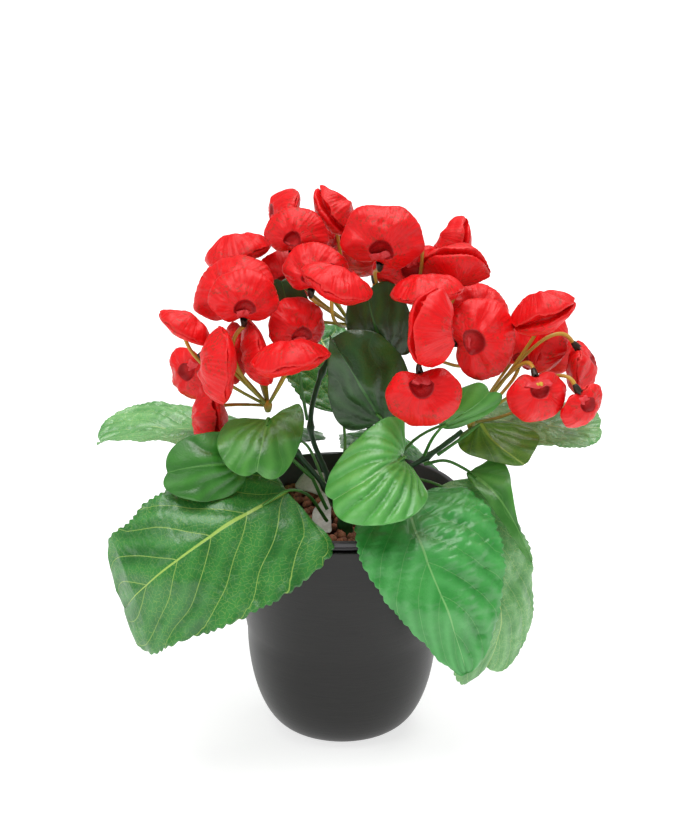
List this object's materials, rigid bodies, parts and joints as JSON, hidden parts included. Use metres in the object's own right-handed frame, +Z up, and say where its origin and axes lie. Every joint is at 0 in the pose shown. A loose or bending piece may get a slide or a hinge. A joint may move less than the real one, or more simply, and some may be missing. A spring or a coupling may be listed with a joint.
{
  "type": "potted artificial calceolaria",
  "caption": "Artificial calceolaria bush with red pouch blooms over toothed veined leaves, standing in a round grey pot with a liner and clay pebbles.",
  "frame": {"origin": "middle of the pot's flat base", "axes": "+Z up, +X to the viewer's right, -Y to the front as pictured"},
  "size_m": [0.3133, 0.2344, 0.3444],
  "materials": {
    "pot": "matte dark grey, fine horizontal turning marks",
    "liner": "satin dark grey",
    "filling": "matt brown plug, hidden under the pebbles",
    "pebbles": "matt red-brown fired clay",
    "card": "off-white card, blank",
    "stem": "moulded, semi-gloss dark green",
    "stalk": "moulded, olive to yellow-green",
    "leaf": "stiffened printed fabric with a light gloss and raised veins",
    "flower": "stiffened printed fabric, red with faint brown-green mottling"
  },
  "bodies": {
    "root": {"pot": "pot", "liner": "liner", "filling": "filling", "pebbles": "pebbles", "stems": "stem", "card_strap": "card", "spray_left": "stalk", "spray_middle": "stalk", "spray_upper_right": "stalk", "spray_right": "stalk", "leaf_front_left": "leaf", "leaf_front_right": "leaf", "leaf_right_low": "leaf", "leaf_left_far": "leaf", "leaf_right_far": "leaf", "leaf_back_left": "leaf", "leaf_back_right": "leaf", "leaf_back_mid": "leaf", "leaf_right_under": "leaf", "leaf_shade_mid": "leaf", "leaf_sheen_mid": "leaf", "leaf_heart_left": "leaf", "leaf_round_left": "leaf", "leaf_hanging_right": "leaf", "leaf_top_dark": "leaf", "leaf_right_mid": "leaf", "leaf_left_top": "leaf", "flower_left_top": "flower", "flower_left_arch": "flower", "flower_left_face": "flower", "flower_left_outer": "flower", "flower_left_side": "flower", "flower_left_upright": "flower", "flower_left_shaded": "flower", "flower_left_leaning": "flower", "flower_left_front": "flower", "flower_left_inner": "flower", "flower_mid_face_left": "flower", "flower_mid_peak": "flower", "flower_mid_face": "flower", "flower_mid_round": "flower", "flower_mid_loaf": "flower", "flower_mid_tucked": "flower", "flower_mid_behind": "flower", "flower_upper_peak": "flower", "flower_upper_cup": "flower", "flower_upper_lens": "flower", "flower_upper_upright": "flower", "flower_upper_disc": "flower", "flower_upper_back": "flower", "flower_front_pouch": "flower", "flower_right_open": "flower", "flower_right_band": "flower", "flower_right_face": "flower", "flower_right_end": "flower", "flower_right_low": "flower", "flower_back_left": "flower", "flower_back_middle": "flower", "flower_back_right": "flower", "flower_back_end": "flower"}
  },
  "joints": []
}
